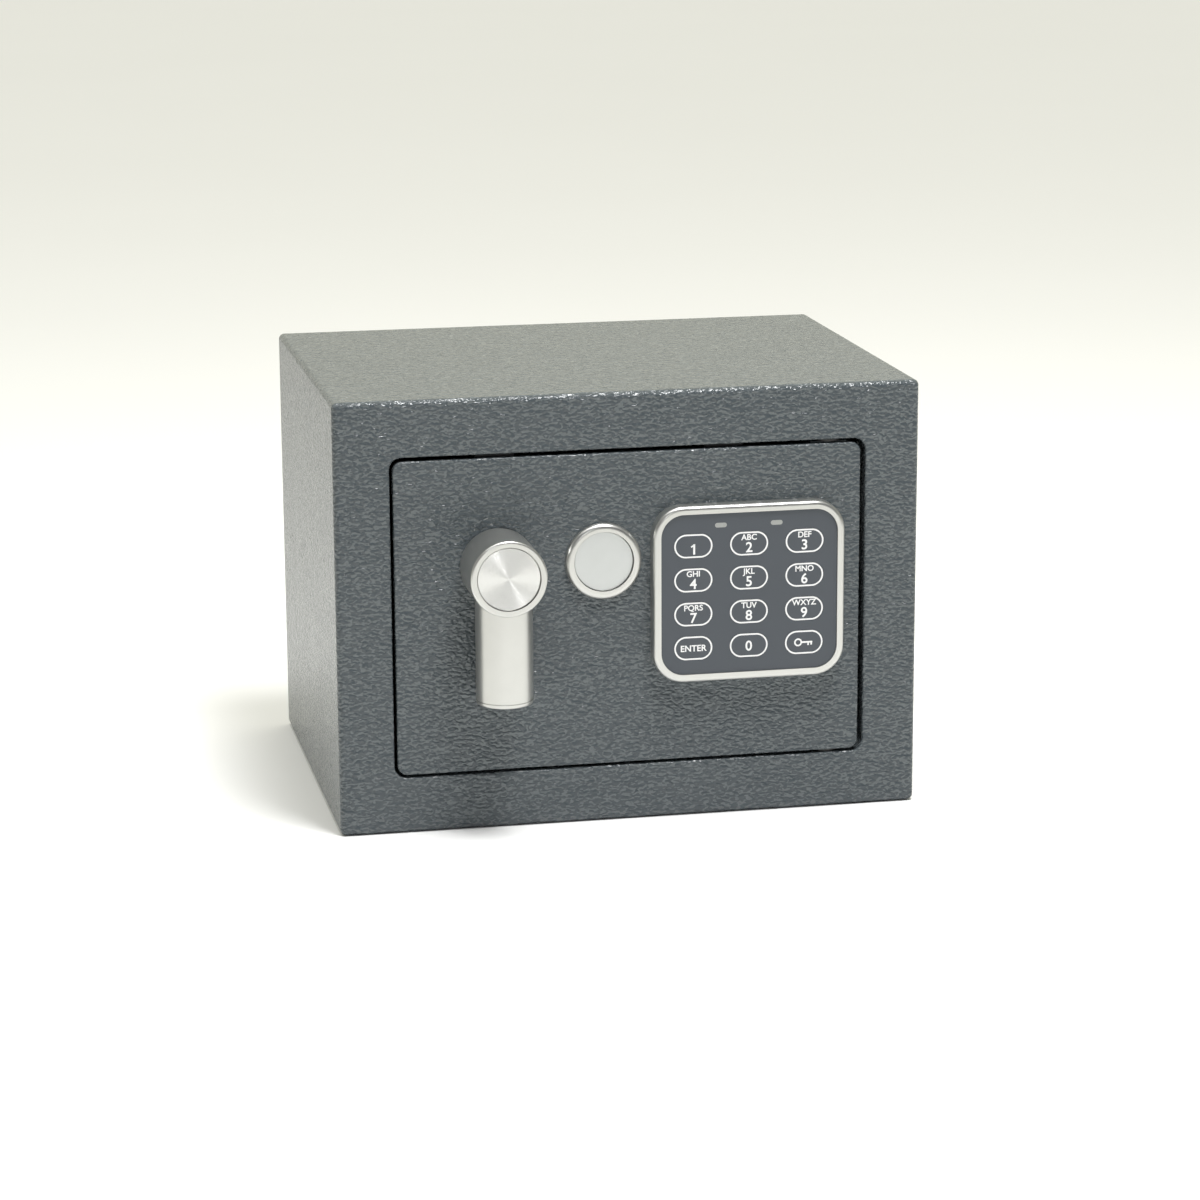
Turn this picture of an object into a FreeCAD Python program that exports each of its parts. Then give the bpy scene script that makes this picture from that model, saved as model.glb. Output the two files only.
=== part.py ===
import FreeCAD, Part
import math
import os

V = FreeCAD.Vector

# A small electronic safe. Millimetres. The origin is the centre of the cabinet's bottom face, +X is to the
# right seen from the front, +Y runs to the back and +Z is up.

# Cabinet
WIDTH = 230.0
DEPTH = 170.0
HEIGHT = 170.0
SHEET = 2.0
CORNER_BEND = 2.3
FRONT = -DEPTH / 2
BACK = DEPTH / 2
MID_HEIGHT = HEIGHT / 2
REAR_FLANGE = 10.0
ANCHOR_RADIUS = 5.0
ANCHOR_SPACING = 120.0
FLOOR_ANCHOR_Y = 20.0
MAT_THICKNESS = 2.5

# Door opening, with a return lip folded inwards around it
OPENING_HALF_WIDTH = 93.5
OPENING_BOTTOM = 22.0
OPENING_TOP = 148.0
OPENING_CORNER = 4.75
LIP_DEPTH = 14.5
LIP_EDGE_ROUND = 0.9

# Door plate, flush with the front
DOOR_LEFT = -92.3
DOOR_RIGHT = 91.5
DOOR_BOTTOM = 23.1
DOOR_TOP = 146.5
DOOR_CORNER = 3.75
DOOR_THICKNESS = 3.0
DOOR_EDGE_ROUND = 0.8
DOOR_REAR = FRONT + DOOR_THICKNESS

# Concealed hinge on the right: the axis lies inboard of the plate's edge and behind its face
HINGE_X = 79.5
HINGE_Y = -78.0
HINGE_PIN_RADIUS = 4.0
HINGE_PIN_BOTTOM = 133.0
HINGE_BLOCK_TOP = 146.9
HINGE_WASHER_THICKNESS = 0.9
RUNNING_CLEARANCE = 0.06

# Handle
HANDLE_X = -52.2
HANDLE_Z = 104.5
HEAD_RADIUS = 14.8
HEAD_FRONT = FRONT - 25.0
HEAD_BACK = FRONT - 0.4
LEVER_RADIUS = 11.0
LEVER_AXIS_Y = FRONT - 12.0
LEVER_END_Z = 53.3
CAP_RADIUS = 12.1
SPINDLE_RADIUS = 5.0
SPINDLE_SQUARE = 7.0

# Crank that drives the lock bar through a quarter turn
CRANK_RADIUS = 9.0
CRANK_PIN_RADIUS = 3.0
CAM_FRONT = -79.4
CAM_BACK = -75.4
BOLT_STROKE = CRANK_RADIUS * math.sqrt(2.0)

# Lock bar and bolts
BAR_LEFT = -67.8
BAR_RIGHT = -37.0
BAR_FRONT = -73.0
BAR_BACK = -70.0
BAR_HALF_HEIGHT = 46.0
BOLT_RADIUS = 7.0
BOLT_Y = -63.0
BOLT_TIP = -90.0
BOLT_HEIGHTS = (MID_HEIGHT - 34.0, MID_HEIGHT + 34.0)
GUIDE_POST_X = -56.0
GUIDE_POST_HEIGHTS = (66.0, 124.0)
GUIDE_POST_RADIUS = 3.0

# Emergency lock under its round cover
LOCK_X = -11.0
LOCK_Z = 104.3
LOCK_RADIUS = 9.5
PLUG_RADIUS = 6.0
RING_RADIUS = 15.0
RING_HEIGHT = 2.4
RING_BORE = 11.75
LOCK_CAM_FRONT = -62.8
LOCK_CAM_BACK = -60.3
LOCK_CAM_REACH = 15.5

# Solenoid that blocks the lock bar
SOLENOID_X = LOCK_X
SOLENOID_Y = -68.0
SOLENOID_BOTTOM = 46.0
SOLENOID_TOP = 72.0
PLUNGER_RADIUS = 3.0
PLUNGER_TOP = 79.5
NECK_BOTTOM = 76.0

# Keypad
KEYPAD_X = 45.85
KEYPAD_Z = 90.25
BEZEL_WIDTH = 76.3
BEZEL_HEIGHT = 69.9
BEZEL_CORNER = 12.0
BEZEL_DEPTH = 6.0
BEZEL_FRONT = FRONT - BEZEL_DEPTH
BEZEL_FLOOR = 1.2
OVERLAY_WIDTH = 70.2
OVERLAY_HEIGHT = 63.5
OVERLAY_CORNER = 9.0
OVERLAY_FRONT = BEZEL_FRONT + 0.6
OVERLAY_THICKNESS = 0.8
KEY_WIDTH = 15.4
KEY_HEIGHT = 9.6
KEY_THICKNESS = 1.5
KEY_PITCH_X = 22.15
KEY_PITCH_Z = 13.53
KEY_TOP_ROW_Z = 109.5
KEY_LEFT_X = 23.5
KEY_GAP = 0.1
KEY_NAMES = ("1", "2", "3", "4", "5", "6", "7", "8", "9", "enter", "0", "key")
LENS_WIDTH = 4.7
LENS_HEIGHT = 1.85
LENS_Z = 117.3
LENS_X = (34.4, 56.6)
HEADER_X = (29.0, 43.0)
HEADER_Z = (83.2, 84.8)
STUD_PLACES = ((14.0, 62.0), (64.0, 118.0))

# Back cover of the door and what it holds
COVER_LEFT = -81.0
COVER_RIGHT = 71.0
COVER_BOTTOM = 30.0
COVER_TOP = 140.0
COVER_BACK = -49.0
COVER_WALL = 1.2
COVER_INNER = COVER_BACK - COVER_WALL
POST_RADIUS = 3.2
POST_PLACES = tuple((x, z) for x in (-74.0, 64.0) for z in (35.2, 134.8))
BOARD_FRONT = -74.0
BOARD_BACK = -72.4
TRAY_X = (6.5, 68.5)
TRAY_Z = (66.0, 125.0)
TRAY_FRONT = -68.0
TRAY_WALL = 1.5
CELL_RADIUS = 7.1
CELL_LENGTH = 49.2
CELL_PITCH = 14.7
CELL_NUB = 1.0
CONTACT_THICKNESS = 0.4
RESET_X = 60.0
RESET_Z = 57.0


def block(x0, x1, y0, y1, z0, z1):
    return Part.makeBox(x1 - x0, y1 - y0, z1 - z0, V(x0, y0, z0))


def rod_x(radius, x0, x1, y, z):
    return Part.makeCylinder(radius, x1 - x0, V(x0, y, z), V(1, 0, 0))


def rod_y(radius, y0, y1, x, z):
    return Part.makeCylinder(radius, y1 - y0, V(x, y0, z), V(0, 1, 0))


def rod_z(radius, z0, z1, x, y):
    return Part.makeCylinder(radius, z1 - z0, V(x, y, z0), V(0, 0, 1))


def hexagon(across_flats, y0, y1, x, z):
    corner = across_flats / math.sqrt(3.0)
    turns = [math.radians(60 * i) for i in range(7)]
    points = [V(x + corner * math.cos(a), y0, z + corner * math.sin(a)) for a in turns]
    return Part.Face(Part.makePolygon(points)).extrude(V(0, y1 - y0, 0))


def spans_axis(edge, axis):
    """True for a straight edge that runs along one axis: 0 is X, 1 is Y and 2 is Z."""
    box = edge.BoundBox
    lengths = (box.XLength, box.YLength, box.ZLength)
    return all((length > 1e-6) == (i == axis) for i, length in enumerate(lengths))


def edges_on_plane(shape, y):
    return [e for e in shape.Edges if abs(e.BoundBox.YMin - y) < 1e-6 and e.BoundBox.YLength < 1e-6]


def slab(x0, x1, y0, y1, z0, z1, corner):
    """A plate that faces the front, with its four corners rounded."""
    plate = block(x0, x1, y0, y1, z0, z1)
    return plate.makeFillet(corner, [e for e in plate.Edges if spans_axis(e, 1)])


def centred_slab(x, z, width, height, y0, y1, corner):
    return slab(x - width / 2, x + width / 2, y0, y1, z - height / 2, z + height / 2, corner)


def obround(x, z, width, height, y0, y1):
    middle = block(x - (width - height) / 2, x + (width - height) / 2, y0, y1, z - height / 2, z + height / 2)
    ends = [rod_y(height / 2, y0, y1, x + side * (width - height) / 2, z) for side in (-1, 1)]
    return middle.fuse(ends).removeSplitter()


def upper_and_lower(shape):
    """The upper piece and its mirror image about the cabinet's middle height."""
    return Part.makeCompound([shape, shape.mirror(V(0, 0, MID_HEIGHT), V(0, 0, 1))])


def coil_spring(radius, wire_radius, height, pitch, base):
    helix = Part.makeHelix(pitch, height, radius)
    section = Part.Wire(Part.makeCircle(wire_radius, V(radius, 0, 0), V(0, 1, 0)))
    spring = Part.Wire(helix.Edges).makePipeShell([section], True, True)
    spring.translate(base)
    return spring


def lead(points, radius):
    """A round wire along straight runs joined by tangent arcs, and the arcs' radii."""
    edges = []
    radii = []
    start = points[0]
    for before, corner, after in zip(points, points[1:], points[2:]):
        arriving = corner - before
        leaving = after - corner
        reach = 0.45 * min(arriving.Length, leaving.Length)
        half_turn = arriving.getAngle(leaving) / 2
        radii.append(reach / math.tan(half_turn))
        arriving.normalize()
        leaving.normalize()
        arc_start = corner - arriving * reach
        arc_end = corner + leaving * reach
        bisector = leaving - arriving
        bisector.normalize()
        centre = corner + bisector * (radii[-1] / math.cos(half_turn))
        middle = centre - bisector * radii[-1]
        edges.append(Part.makeLine(start, arc_start))
        edges.append(Part.Arc(arc_start, middle, arc_end).toShape())
        start = arc_end
    edges.append(Part.makeLine(start, points[-1]))
    section = Part.Wire(Part.makeCircle(radius, points[0], points[1] - points[0]))
    return Part.Wire(edges).makePipeShell([section], True, False), radii


# ---- Cabinet ----

def opening_slab(growth, y0, y1):
    return slab(-OPENING_HALF_WIDTH - growth, OPENING_HALF_WIDTH + growth, y0, y1,
                OPENING_BOTTOM - growth, OPENING_TOP + growth, OPENING_CORNER + growth)


def anchor_places():
    return (-ANCHOR_SPACING / 2, ANCHOR_SPACING / 2)


def body_shell():
    box = block(-WIDTH / 2, WIDTH / 2, FRONT, BACK, 0, HEIGHT)
    bent = box.makeFillet(CORNER_BEND, [e for e in box.Edges if e.BoundBox.YMin < BACK - 1e-6])
    cavity = block(-WIDTH / 2 + SHEET, WIDTH / 2 - SHEET, FRONT + SHEET, BACK + 1, SHEET, HEIGHT - SHEET)
    lip = opening_slab(SHEET, FRONT + SHEET / 2, FRONT + LIP_DEPTH)
    shell = bent.cut(cavity).fuse(lip).cut(opening_slab(0, FRONT - 1, FRONT + LIP_DEPTH + 1)).removeSplitter()
    rim = [e for e in edges_on_plane(shell, FRONT) if abs(e.BoundBox.Center.x) <= OPENING_HALF_WIDTH + 0.01
           and OPENING_BOTTOM - 0.01 <= e.BoundBox.Center.z <= OPENING_TOP + 0.01]
    shell = shell.makeFillet(LIP_EDGE_ROUND, rim)
    pin_hole = rod_z(HINGE_PIN_RADIUS + RUNNING_CLEARANCE, SHEET, HEIGHT - SHEET, HINGE_X, HINGE_Y)
    floor_holes = [rod_z(ANCHOR_RADIUS, -1, SHEET + 1, x, FLOOR_ANCHOR_Y) for x in anchor_places()]
    return shell.cut([pin_hole] + floor_holes)


def rear_panel():
    """The back wall: a tray whose flanges are welded inside the shell."""
    half_width = WIDTH / 2 - SHEET
    inset = 1.0
    tray = block(-half_width, half_width, BACK - inset - REAR_FLANGE, BACK - inset, SHEET, HEIGHT - SHEET)
    hollow = block(-half_width + SHEET, half_width - SHEET, BACK - inset - REAR_FLANGE - 1,
                   BACK - inset - SHEET, 2 * SHEET, HEIGHT - 2 * SHEET)
    holes = [rod_y(ANCHOR_RADIUS, BACK - 10, BACK + 1, x, MID_HEIGHT) for x in anchor_places()]
    return tray.cut([hollow] + holes)


def hinge_plates():
    thickness = 3.0
    top = OPENING_TOP + SHEET
    plate = block(HINGE_X - 9.5, HINGE_X + 12.5, FRONT + SHEET, HINGE_Y + 12, top, top + thickness)
    bore = rod_z(HINGE_PIN_RADIUS + RUNNING_CLEARANCE, top - 1, top + thickness + 1, HINGE_X, HINGE_Y)
    return upper_and_lower(plate.cut(bore))


def door_stops():
    """Four tabs inside the lip that the closed door plate meets."""
    clearance = 0.2
    tab_width = 15.0
    tabs = [block(x, x + tab_width, DOOR_REAR + clearance, DOOR_REAR + clearance + 3, OPENING_TOP - 4, OPENING_TOP)
            for x in (-60.0, 30.0)]
    return Part.makeCompound([s for tab in tabs for s in upper_and_lower(tab).Solids])


def floor_mat():
    mat = block(-106, 106, -68, 73, SHEET, SHEET + MAT_THICKNESS)
    mat = mat.makeFillet(6.0, [e for e in mat.Edges if spans_axis(e, 2)])
    return mat.cut([rod_z(ANCHOR_RADIUS + 3, 0, 10, x, FLOOR_ANCHOR_Y) for x in anchor_places()])


# ---- Door ----

def door_plate():
    plate = slab(DOOR_LEFT, DOOR_RIGHT, FRONT, DOOR_REAR, DOOR_BOTTOM, DOOR_TOP, DOOR_CORNER)
    plate = plate.makeFillet(DOOR_EDGE_ROUND, edges_on_plane(plate, FRONT))
    y0 = FRONT - 1
    y1 = DOOR_REAR + 1
    holes = [rod_y(SPINDLE_RADIUS + RUNNING_CLEARANCE, y0, y1, HANDLE_X, HANDLE_Z),
             rod_y(LOCK_RADIUS, y0, y1, LOCK_X, LOCK_Z),
             block(HEADER_X[0] - 1, HEADER_X[1] + 1, y0, y1, HEADER_Z[0] - 1, HEADER_Z[1] + 1)]
    holes += [rod_y(2.0, y0, y1, x, z) for x, z in STUD_PLACES]
    return plate.cut(holes)


def hinge_blocks():
    top = HINGE_BLOCK_TOP
    corner = block(HINGE_X - 7.5, HINGE_X + 7, DOOR_REAR, HINGE_Y + 6.5, top - 16, top)
    bore = rod_z(HINGE_PIN_RADIUS, HINGE_PIN_BOTTOM, top + 1, HINGE_X, HINGE_Y)
    return upper_and_lower(corner.cut(bore))


def hinge_pins():
    top = OPENING_TOP + SHEET + 5
    pin = rod_z(HINGE_PIN_RADIUS, HINGE_PIN_BOTTOM, top, HINGE_X, HINGE_Y)
    return upper_and_lower(pin.makeChamfer(0.8, [e for e in pin.Edges if e.BoundBox.ZMin > top - 0.1]))


def hinge_washers():
    low = HINGE_BLOCK_TOP
    high = low + HINGE_WASHER_THICKNESS
    ring = rod_z(5.6, low, high, HINGE_X, HINGE_Y)
    return upper_and_lower(ring.cut(rod_z(HINGE_PIN_RADIUS + 0.1, low, high, HINGE_X, HINGE_Y)))


def bolt_guide_bracket():
    """An angle welded to the door that the two bolts run through."""
    half_height = 52.0
    wall = block(COVER_LEFT - 3, COVER_LEFT, DOOR_REAR, COVER_BACK, MID_HEIGHT - half_height, MID_HEIGHT + half_height)
    foot = block(COVER_LEFT - 10, COVER_LEFT - 3, DOOR_REAR, DOOR_REAR + 2.5,
                 MID_HEIGHT - half_height, MID_HEIGHT + half_height)
    bores = [rod_x(BOLT_RADIUS + RUNNING_CLEARANCE, -100, -60, BOLT_Y, z) for z in BOLT_HEIGHTS]
    return wall.fuse(foot).removeSplitter().cut(bores)


def guide_posts():
    """Shouldered studs on the door that carry the lock bar in its slots."""
    posts = []
    for z in GUIDE_POST_HEIGHTS:
        foot = rod_y(4.5, DOOR_REAR, BAR_FRONT - 0.2, GUIDE_POST_X, z)
        stem = rod_y(GUIDE_POST_RADIUS, BAR_FRONT - 0.2, BAR_BACK + 0.3, GUIDE_POST_X, z)
        head = rod_y(5.0, BAR_BACK + 0.3, BAR_BACK + 1.7, GUIDE_POST_X, z)
        posts.append(foot.fuse([stem, head]).removeSplitter())
    return Part.makeCompound(posts)


def cover_posts():
    return Part.makeCompound([rod_y(POST_RADIUS, DOOR_REAR, COVER_INNER, x, z).cut(
        rod_y(1.5, COVER_INNER - 8, COVER_INNER + 1, x, z)) for x, z in POST_PLACES])


def cover_screws():
    screws = []
    for x, z in POST_PLACES:
        head = rod_y(3.0, COVER_BACK, COVER_BACK + 1.8, x, z)
        head = head.makeFillet(0.9, edges_on_plane(head, COVER_BACK + 1.8))
        socket = block(x - 2.2, x + 2.2, COVER_BACK + 0.9, COVER_BACK + 3, z - 0.4, z + 0.4)
        cross = block(x - 0.4, x + 0.4, COVER_BACK + 0.9, COVER_BACK + 3, z - 2.2, z + 2.2)
        screws.append(head.cut([socket, cross]).fuse(rod_y(1.5, COVER_INNER - 7, COVER_BACK, x, z)))
    return Part.makeCompound(screws)


def battery_opening(gap):
    """The outline of the battery cover in the door's back cover, made smaller by the gap all round."""
    return slab(TRAY_X[0] + 1 + gap, TRAY_X[1] - 1 - gap, COVER_INNER - 0.5, COVER_BACK + 1,
                TRAY_Z[0] + 0.5 + gap, TRAY_Z[1] - 0.5 - gap, 2.0)


def door_back_cover():
    pan = block(COVER_LEFT, COVER_RIGHT, DOOR_REAR, COVER_BACK, COVER_BOTTOM, COVER_TOP)
    outer_bends = [e for e in edges_on_plane(pan, COVER_BACK) if e.BoundBox.Center.x > COVER_LEFT + 1]
    pan = pan.makeFillet(1.5, outer_bends)
    hollow = block(COVER_LEFT - 1, COVER_RIGHT - COVER_WALL, DOOR_REAR - 1, COVER_INNER,
                   COVER_BOTTOM + COVER_WALL, COVER_TOP - COVER_WALL)
    holes = [rod_y(1.6, COVER_INNER - 1, COVER_BACK + 1, x, z) for x, z in POST_PLACES]
    holes.append(rod_y(3.1, COVER_INNER - 1, COVER_BACK + 1, RESET_X, RESET_Z))
    return pan.cut([hollow, battery_opening(0)] + holes)


# ---- Electronics inside the door ----

def battery_tray():
    tray = block(TRAY_X[0], TRAY_X[1], TRAY_FRONT, COVER_INNER, TRAY_Z[0], TRAY_Z[1])
    hollow = block(TRAY_X[0] + TRAY_WALL, TRAY_X[1] - TRAY_WALL, TRAY_FRONT + TRAY_WALL, COVER_INNER + 1,
                   TRAY_Z[0] + TRAY_WALL, TRAY_Z[1] - TRAY_WALL)
    feet = [block(x, x + 4, BOARD_BACK, TRAY_FRONT, z, z + 4)
            for x in (TRAY_X[0] + 2, TRAY_X[1] - 6.6) for z in (TRAY_Z[0] + 1, TRAY_Z[1] - 5)]
    return tray.cut(hollow).fuse(feet).removeSplitter()


def cell_places():
    """Each cell's centre and whether its nub points up: neighbours lie head to tail."""
    middle = (TRAY_X[0] + TRAY_X[1]) / 2
    return [(middle + CELL_PITCH * (i - 1.5), i % 2 == 0) for i in range(4)]


def turned_over(shape, nub_up):
    if nub_up:
        return shape
    return shape.mirror(V(0, 0, (TRAY_Z[0] + TRAY_Z[1]) / 2), V(0, 0, 1))


def batteries():
    y = TRAY_FRONT + TRAY_WALL + CELL_RADIUS
    nub_end = TRAY_Z[1] - TRAY_WALL - CONTACT_THICKNESS
    cells = []
    for x, nub_up in cell_places():
        can = rod_z(CELL_RADIUS, nub_end - CELL_NUB - CELL_LENGTH, nub_end - CELL_NUB, x, y)
        can = can.makeFillet(0.6, can.Edges[0:1] + can.Edges[2:3])
        cells.append(turned_over(can.fuse(rod_z(2.7, nub_end - CELL_NUB, nub_end, x, y)), nub_up))
    return Part.makeCompound(cells)


def battery_contacts():
    y = TRAY_FRONT + TRAY_WALL + CELL_RADIUS
    low = TRAY_Z[0] + TRAY_WALL
    high = TRAY_Z[1] - TRAY_WALL
    pieces = []
    for x, nub_up in cell_places():
        for z in (low, high - CONTACT_THICKNESS):
            pieces.append(turned_over(block(x - 5, x + 5, y - 5, y + 5, z, z + CONTACT_THICKNESS), nub_up))
        spring = coil_spring(3.0, 0.35, 4.2, 1.4, V(x, y, low + CONTACT_THICKNESS + 0.4))
        pieces.append(turned_over(spring, nub_up))
    return Part.makeCompound(pieces)


def battery_cover():
    lid = battery_opening(0.4).common(block(0, 80, COVER_INNER + 0.1, COVER_BACK, 40, 140))
    middle = (TRAY_X[0] + TRAY_X[1]) / 2
    ribs = [block(middle - 8, middle + 8, COVER_BACK, COVER_BACK + 1, z, z + 1) for z in (112, 114.5, 117)]
    return lid.fuse(ribs).removeSplitter()


def control_board():
    board = block(8, 66, BOARD_FRONT, BOARD_BACK, 48, 128)
    return board.cut([rod_y(1.5, BOARD_FRONT - 1, BOARD_BACK + 1, x, z) for x in (12, 62) for z in (51, 118)])


def board_components():
    header_socket = block(HEADER_X[0] - 2, HEADER_X[1] + 2, -78, BOARD_FRONT, HEADER_Z[0] - 2, HEADER_Z[1] + 2)
    processor = block(22, 34, BOARD_FRONT - 2, BOARD_FRONT, 100, 112)
    memory = block(40, 46, BOARD_FRONT - 1.6, BOARD_FRONT, 102, 110)
    buzzer = rod_y(6, BOARD_FRONT - 5.5, BOARD_FRONT, 54, 104)
    buzzer = buzzer.cut(rod_y(1, BOARD_FRONT - 6, BOARD_FRONT - 4.5, 54, 104))
    capacitors = [rod_y(3, BOARD_FRONT - 6.5, BOARD_FRONT, x, 70) for x in (18, 27)]
    lead_socket = block(12, 20, BOARD_BACK, -67.4, 52, 61)
    reset_switch = block(RESET_X - 3, RESET_X + 3, BOARD_BACK, -69.4, RESET_Z - 3, RESET_Z + 3)
    return Part.makeCompound([header_socket, processor, memory, buzzer, lead_socket, reset_switch] + capacitors)


def reset_button():
    pin = rod_y(3.0, -68.4, COVER_BACK + 0.8, RESET_X, RESET_Z)
    return pin.makeFillet(0.5, edges_on_plane(pin, COVER_BACK + 0.8))


# ---- Keypad ----

def bezel_slab(inset, y0, y1, corner):
    return centred_slab(KEYPAD_X, KEYPAD_Z, BEZEL_WIDTH - 2 * inset, BEZEL_HEIGHT - 2 * inset, y0, y1, corner)


def overlay_slab(growth, y0, y1):
    return centred_slab(KEYPAD_X, KEYPAD_Z, OVERLAY_WIDTH + 2 * growth, OVERLAY_HEIGHT + 2 * growth,
                        y0, y1, OVERLAY_CORNER + growth)


def keypad_bezel():
    bezel = bezel_slab(0, BEZEL_FRONT, FRONT, BEZEL_CORNER)
    bezel = bezel.makeFillet(1.6, edges_on_plane(bezel, BEZEL_FRONT))
    ledge = OVERLAY_FRONT + OVERLAY_THICKNESS
    pocket = overlay_slab(0.05, BEZEL_FRONT - 1, ledge)
    cavity = overlay_slab(-2, ledge - 1, FRONT - BEZEL_FLOOR)
    slot = block(HEADER_X[0] - 1, HEADER_X[1] + 1, FRONT - 3, FRONT + 1, HEADER_Z[0] - 1, HEADER_Z[1] + 1)
    studs = [rod_y(1.9, FRONT, FRONT + 7.5, x, z) for x, z in STUD_PLACES]
    return bezel.cut([pocket, cavity, slot]).fuse(studs).removeSplitter()


def key_places():
    """Every key's name and centre, row by row from the top left."""
    return [(name, KEY_LEFT_X + KEY_PITCH_X * (i % 3), KEY_TOP_ROW_Z - KEY_PITCH_Z * (i // 3))
            for i, name in enumerate(KEY_NAMES)]


def keypad_overlay():
    sheet = overlay_slab(0, OVERLAY_FRONT, OVERLAY_FRONT + OVERLAY_THICKNESS)
    holes = [obround(x, z, KEY_WIDTH + 2 * KEY_GAP, KEY_HEIGHT + 2 * KEY_GAP, OVERLAY_FRONT - 1, FRONT)
             for _, x, z in key_places()]
    holes += [obround(x, LENS_Z, LENS_WIDTH, LENS_HEIGHT, OVERLAY_FRONT - 1, FRONT) for x in LENS_X]
    return sheet.cut(holes)


def key_pad(x, z):
    return obround(x, z, KEY_WIDTH, KEY_HEIGHT, OVERLAY_FRONT, OVERLAY_FRONT + KEY_THICKNESS)


def led_lenses():
    return Part.makeCompound([obround(x, LENS_Z, LENS_WIDTH, LENS_HEIGHT, OVERLAY_FRONT, OVERLAY_FRONT + 1.2)
                              for x in LENS_X])


def keypad_board():
    """The keypad's circuit board with its two indicator lamps and the header that passes through the door."""
    rear = FRONT - BEZEL_FLOOR
    board = overlay_slab(-2.3, rear - 1.6, rear)
    lamps = [block(x - 1.5, x + 1.5, rear - 2.7, rear - 1.6, LENS_Z - 0.8, LENS_Z + 0.8) for x in LENS_X]
    header = block(HEADER_X[0], HEADER_X[1], rear, -78, HEADER_Z[0], HEADER_Z[1])
    return Part.makeCompound([board, header] + lamps)


def key_domes():
    base = FRONT - BEZEL_FLOOR - 1.6
    return Part.makeCompound([Part.makeCone(3.4, 2.2, 0.6, V(x, base, z), V(0, -1, 0)) for _, x, z in key_places()])


def door_nuts():
    """The emergency lock's large nut and the keypad's two small ones, behind the door plate."""
    nuts = [hexagon(24.0, DOOR_REAR, DOOR_REAR + 3.5, LOCK_X, LOCK_Z).cut(
        rod_y(LOCK_RADIUS, DOOR_REAR - 1, DOOR_REAR + 5, LOCK_X, LOCK_Z))]
    nuts += [hexagon(7.0, DOOR_REAR, DOOR_REAR + 2.6, x, z).cut(rod_y(1.9, DOOR_REAR - 1, DOOR_REAR + 5, x, z))
             for x, z in STUD_PLACES]
    return Part.makeCompound(nuts)


# ---- Handle ----

def handle_lever():
    head = rod_y(HEAD_RADIUS, HEAD_FRONT, HEAD_BACK, HANDLE_X, HANDLE_Z)
    head = head.makeFillet(0.9, edges_on_plane(head, HEAD_FRONT))
    lever = rod_z(LEVER_RADIUS, LEVER_END_Z, HANDLE_Z, HANDLE_X, LEVER_AXIS_Y)
    lever = lever.makeFillet(0.9, [e for e in lever.Edges if e.BoundBox.ZMax < LEVER_END_Z + 0.1])
    groove_z = LEVER_END_Z + 1.6
    groove = rod_z(LEVER_RADIUS + 1, groove_z, groove_z + 0.4, HANDLE_X, LEVER_AXIS_Y).cut(
        rod_z(LEVER_RADIUS - 0.3, groove_z, groove_z + 0.4, HANDLE_X, LEVER_AXIS_Y))
    cap_seat = rod_y(CAP_RADIUS + 0.25, HEAD_FRONT - 1, HEAD_FRONT + 2.4, HANDLE_X, HANDLE_Z)
    screw_well = rod_y(7.5, HEAD_FRONT, HEAD_FRONT + 9, HANDLE_X, HANDLE_Z)
    bore = rod_y(SPINDLE_RADIUS, HEAD_FRONT, FRONT, HANDLE_X, HANDLE_Z)
    return head.fuse(lever).removeSplitter().cut([groove, cap_seat, screw_well, bore])


def handle_cap():
    disc = rod_y(CAP_RADIUS, HEAD_FRONT + 0.6, HEAD_FRONT + 2.4, HANDLE_X, HANDLE_Z)
    return disc.makeFillet(0.25, edges_on_plane(disc, HEAD_FRONT + 0.6))


def handle_screw():
    seat = HEAD_FRONT + 9
    head = rod_y(4.5, seat - 3, seat, HANDLE_X, HANDLE_Z)
    socket = hexagon(4.0, seat - 4, seat - 1, HANDLE_X, HANDLE_Z)
    return head.cut(socket).fuse(rod_y(2.5, seat, seat + 11, HANDLE_X, HANDLE_Z))


def spindle():
    seat = HEAD_FRONT + 9
    half = SPINDLE_SQUARE / 2
    shaft = rod_y(SPINDLE_RADIUS, seat, CAM_FRONT, HANDLE_X, HANDLE_Z)
    square = block(HANDLE_X - half, HANDLE_X + half, CAM_FRONT, CAM_BACK, HANDLE_Z - half, HANDLE_Z + half)
    groove = rod_y(8, -81.4, -80.4, HANDLE_X, HANDLE_Z).cut(rod_y(4.4, -81.4, -80.4, HANDLE_X, HANDLE_Z))
    thread = rod_y(2.5, seat - 1, seat + 11, HANDLE_X, HANDLE_Z)
    return shaft.fuse(square).cut([groove, thread])


def spindle_clip():
    ring = rod_y(7.2, -81.4, -80.4, HANDLE_X, HANDLE_Z).cut(rod_y(4.4, -82, -80, HANDLE_X, HANDLE_Z))
    return ring.cut(block(HANDLE_X - 2.5, HANDLE_X + 2.5, -82, -80, HANDLE_Z, HANDLE_Z + 10))


def spindle_cam():
    """A disc on the spindle's square end, with the crank pin that moves the lock bar."""
    half = SPINDLE_SQUARE / 2
    offset = CRANK_RADIUS * math.sqrt(0.5)
    disc = rod_y(12.5, CAM_FRONT, CAM_BACK, HANDLE_X, HANDLE_Z)
    square = block(HANDLE_X - half, HANDLE_X + half, CAM_FRONT - 1, CAM_BACK + 1, HANDLE_Z - half, HANDLE_Z + half)
    pin = rod_y(CRANK_PIN_RADIUS, CAM_BACK, BAR_BACK + 0.7, HANDLE_X + offset, HANDLE_Z - offset)
    return disc.cut(square).fuse(pin)


# ---- Lock bar ----

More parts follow.
